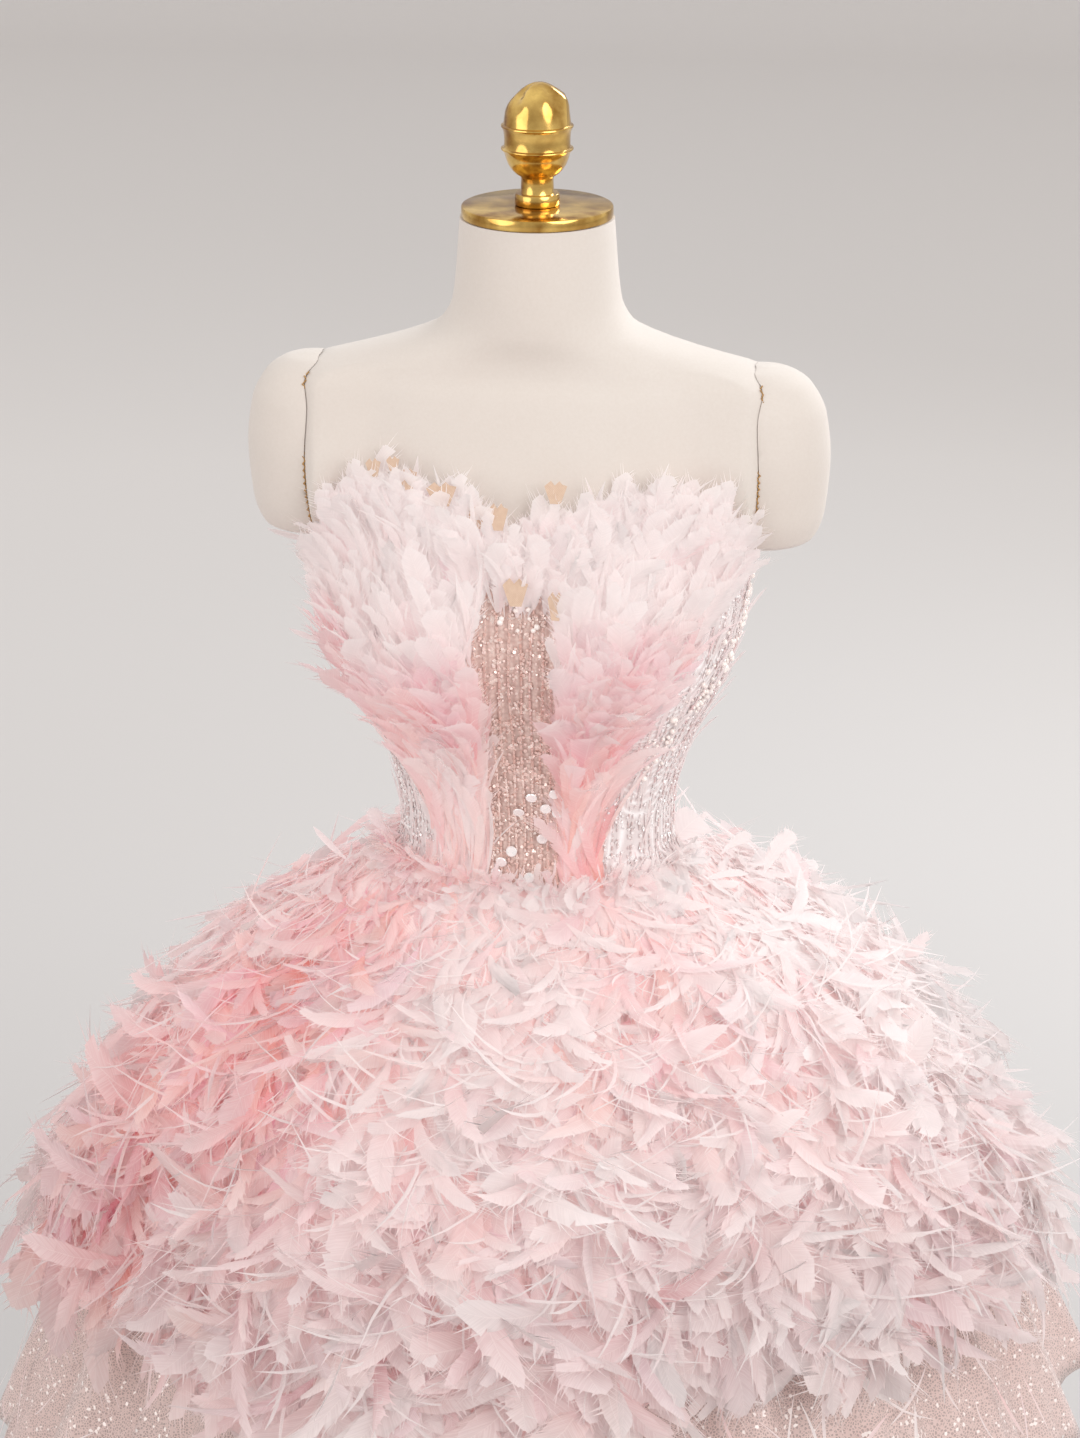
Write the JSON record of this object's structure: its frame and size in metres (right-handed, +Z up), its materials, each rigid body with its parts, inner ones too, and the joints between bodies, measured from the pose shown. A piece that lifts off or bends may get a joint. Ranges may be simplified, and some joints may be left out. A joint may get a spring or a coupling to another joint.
{
  "type": "feather dress on dress form",
  "caption": "Strapless sweetheart dress with a wide lobed feather skirt over gathered tulle, on a limbless canvas dress form with gold neck plate, bud finial, pole and round base",
  "frame": {"origin": "centre of the base's flat underside, on the floor under the pole", "axes": "+Z up, the front of the dress faces -Y, +X is the viewer's right from the front"},
  "size_m": [0.9634, 0.9729, 1.6591],
  "materials": {
    "canvas": "matt cream canvas",
    "gold": "polished gold plate",
    "twill": "matt nude twill",
    "sequinned_net": "rose net with sequins",
    "tulle": "sheer glitter tulle",
    "blush_cloth": "soft blush net",
    "white_feather": "soft white feather",
    "pink_feather": "soft pink feather"
  },
  "bodies": {
    "root": {"form_torso": "canvas", "shoulder_cap_right": "canvas", "shoulder_cap_left": "canvas", "neck_plate": "gold", "finial": "gold", "pole": "gold", "base": "gold", "bodice_front_centre": "sequinned_net", "bodice_front_right": "twill", "bodice_side_right": "twill", "bodice_back_right": "twill", "back_zip": "twill", "bodice_back_left": "twill", "bodice_side_left": "twill", "bodice_front_left": "twill", "zip_slider": "gold", "tulle_inner_1": "tulle", "tulle_outer_1": "tulle", "tulle_inner_2": "tulle", "tulle_outer_2": "tulle", "tulle_inner_3": "tulle", "tulle_outer_3": "tulle", "tulle_inner_4": "tulle", "tulle_outer_4": "tulle", "tulle_inner_5": "tulle", "tulle_outer_5": "tulle", "tulle_inner_6": "tulle", "tulle_outer_6": "tulle", "overskirt_front": "blush_cloth", "overskirt_right": "blush_cloth", "overskirt_back_right": "blush_cloth", "overskirt_back_left": "blush_cloth", "overskirt_left": "blush_cloth", "skirt_feathers_1": "pink_feather", "skirt_feathers_2": "white_feather", "skirt_feathers_3": "pink_feather", "skirt_feathers_4": "white_feather", "skirt_feathers_5": "white_feather", "bodice_feathers_right_1": "pink_feather", "bodice_feathers_left_1": "pink_feather", "bodice_feathers_right_2": "pink_feather", "bodice_feathers_left_2": "pink_feather", "bodice_feathers_right_3": "pink_feather", "bodice_feathers_left_3": "pink_feather", "bodice_feathers_right_4": "white_feather", "bodice_feathers_left_4": "white_feather", "bodice_feathers_right_5": "white_feather", "bodice_feathers_left_5": "white_feather", "neckline_feathers": "white_feather"}
  },
  "joints": []
}
